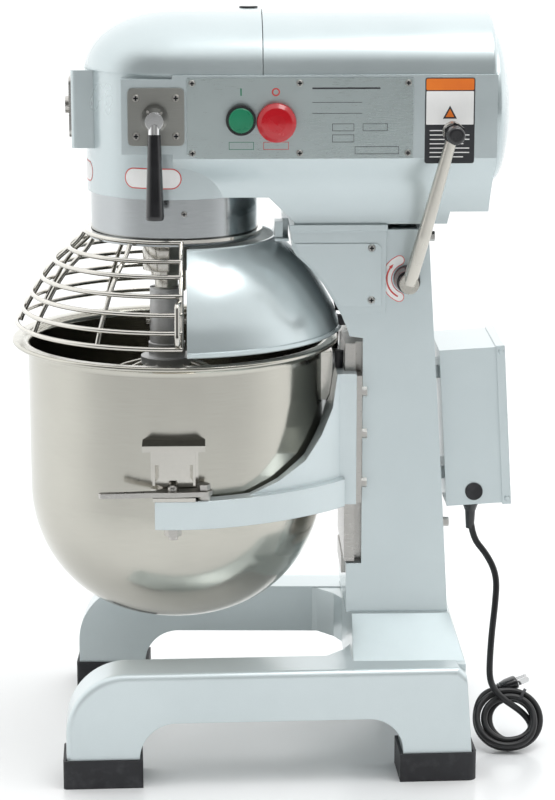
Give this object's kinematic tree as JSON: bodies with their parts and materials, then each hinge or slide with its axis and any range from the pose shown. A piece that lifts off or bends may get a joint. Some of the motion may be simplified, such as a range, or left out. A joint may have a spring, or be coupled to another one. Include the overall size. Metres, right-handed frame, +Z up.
{
  "type": "planetary_mixer",
  "caption": "Commercial stand mixer with planetary whisk, lifting bowl carriage, swinging wire guard, gearbox, side speed lever and coiled mains lead",
  "frame": {"origin": "middle of the footprint, on the surface the feet stand on", "axes": "+Z up, -X towards the bowl end, +X towards the control box, -Y the side with lever and buttons"},
  "size_m": [0.5625, 0.367, 0.7816],
  "materials": {
    "silver_blue_paint": "semi-gloss metallic silver-blue enamel",
    "painted_casting": "semi-gloss metallic enamel over cast iron",
    "black_rubber": "matt",
    "cord_rubber": "satin sheath",
    "machined_steel": "machined",
    "gear_steel": "oiled",
    "polished_steel": "polished stainless",
    "brushed_stainless": "brushed stainless",
    "brushed_plate": "brushed",
    "cast_aluminium": "fine cast",
    "cast_iron_grey": "primed",
    "chrome_plate": "mirror",
    "panel_film": "satin film on steel",
    "black_plastic": "satin",
    "green_plastic": "satin",
    "red_plastic": "satin"
  },
  "bodies": {
    "machine": {"base_frame": "painted_casting", "rubber_feet": "black_rubber", "column_housing": "silver_blue_paint", "slideway": "machined_steel", "slideway_stop": "machined_steel", "guard_stops": "black_rubber", "neck_cover_plates": "silver_blue_paint", "head_housing": "silver_blue_paint", "front_top_cover": "silver_blue_paint", "rear_motor_cover": "silver_blue_paint", "rear_end_cap": "silver_blue_paint", "filler_cap": "black_plastic", "hub_block": "silver_blue_paint", "hub_cover": "machined_steel", "control_panel": "panel_film", "speed_plate": "brushed_plate", "machine_screws": "machined_steel", "collar_ring": "polished_steel", "ring_gear": "gear_steel", "switch_blocks": "black_plastic", "motor_stator": "cast_iron_grey", "shaft_bearings": "gear_steel", "guard_dome": "silver_blue_paint", "guard_bracket": "silver_blue_paint", "control_box": "silver_blue_paint", "box_cover": "silver_blue_paint", "box_grommet": "black_rubber", "cable_gland": "black_plastic", "cord_tube": "cord_rubber", "cord_coil": "cord_rubber", "mains_plug": "black_plastic"},
    "carrier": {"planet_carrier": "polished_steel", "drive_shaft": "gear_steel", "crown_gear": "gear_steel"},
    "agitator": {"agitator_shaft": "polished_steel", "planet_gear": "gear_steel", "whisk_hub": "cast_aluminium", "whisk_wires": "polished_steel"},
    "lay": {"lay_shaft": "gear_steel", "sliding_gear": "gear_steel"},
    "counter": {"counter_shaft": "gear_steel"},
    "rotor": {"motor_rotor": "gear_steel", "cooling_fan": "black_plastic"},
    "speed_lever": {"speed_spindle": "chrome_plate", "speed_grip": "black_plastic"},
    "shift_fork": {"shift_rail": "gear_steel"},
    "start": {"start_button": "green_plastic"},
    "stop": {"stop_button": "red_plastic"},
    "guard": {"wire_guard": "polished_steel"},
    "carriage": {"bowl": "brushed_stainless", "bowl_brackets": "brushed_stainless", "bowl_yoke": "painted_casting", "saddle_buffers": "black_rubber", "yoke_hardware": "machined_steel", "lift_rack": "gear_steel"},
    "lift": {"lift_shaft": "black_plastic", "lift_arm": "painted_casting", "lift_knob": "black_plastic"},
    "clamp_near": {"clamp_lever_near": "machined_steel"},
    "clamp_far": {"clamp_lever_far": "machined_steel"}
  },
  "joints": [
    {"name": "carrier_spin", "type": "hinge", "parent": "machine", "child": "carrier", "pos_m": [-0.09, 0, 0.58], "axis": [0, 0, 1], "continuous": true},
    {"name": "agitator_spin", "type": "hinge", "parent": "carrier", "child": "agitator", "pos_m": [-0.09834, -0.04727, 0.55], "axis": [0, 0, 1], "continuous": true},
    {"name": "lay_spin", "type": "hinge", "parent": "machine", "child": "lay", "pos_m": [-0.09, 0, 0.681], "axis": [1, 0, 0], "continuous": true},
    {"name": "counter_spin", "type": "hinge", "parent": "machine", "child": "counter", "pos_m": [0.05, 0, 0.631], "axis": [1, 0, 0], "continuous": true},
    {"name": "rotor_spin", "type": "hinge", "parent": "machine", "child": "rotor", "pos_m": [0.15, 0, 0.681], "axis": [1, 0, 0], "continuous": true},
    {"name": "speed_lever_turn", "type": "hinge", "parent": "machine", "child": "speed_lever", "pos_m": [-0.1075, -0.09, 0.677], "axis": [0, -1, 0], "range_deg": [-36, 36]},
    {"name": "shift_slide", "type": "slide", "parent": "machine", "child": "shift_fork", "axis": [-1, 0, 0], "range_m": [-0.008, 0.008]},
    {"name": "start_press", "type": "slide", "parent": "machine", "child": "start", "axis": [0, 1, 0], "range_m": [0, 0.003], "stiffness_N_per_m": 400},
    {"name": "stop_press", "type": "slide", "parent": "machine", "child": "stop", "axis": [0, 1, 0], "range_m": [0, 0.0024], "stiffness_N_per_m": 500},
    {"name": "guard_swing", "type": "hinge", "parent": "machine", "child": "guard", "pos_m": [-0.09, 0, 0.55], "axis": [0, 0, -1], "range_deg": [0, 115]},
    {"name": "carriage_slide", "type": "slide", "parent": "machine", "child": "carriage", "axis": [0, 0, -1], "range_m": [0, 0.0495]},
    {"name": "lift_lever_turn", "type": "hinge", "parent": "machine", "child": "lift", "pos_m": [0.1487, 0, 0.509], "axis": [0, -1, 0], "range_deg": [0, 95]},
    {"name": "clamp_near_turn", "type": "hinge", "parent": "carriage", "child": "clamp_near", "pos_m": [-0.061, -0.165, 0.309], "axis": [0, 0, 1], "range_deg": [0, 60]},
    {"name": "clamp_far_turn", "type": "hinge", "parent": "carriage", "child": "clamp_far", "pos_m": [-0.061, 0.165, 0.309], "axis": [0, 0, -1], "range_deg": [0, 60]}
  ],
  "couplings": [
    {"joint": "agitator_spin", "follows": "carrier_spin", "ratio": -3.1818},
    {"joint": "lay_spin", "follows": "carrier_spin", "ratio": 2},
    {"joint": "counter_spin", "follows": "carrier_spin", "ratio": -3},
    {"joint": "rotor_spin", "follows": "carrier_spin", "ratio": 7},
    {"joint": "shift_slide", "follows": "speed_lever_turn", "m_per_rad": 0.01},
    {"joint": "lift_lever_turn", "follows": "carriage_slide", "rad_per_m": 33.333}
  ]
}
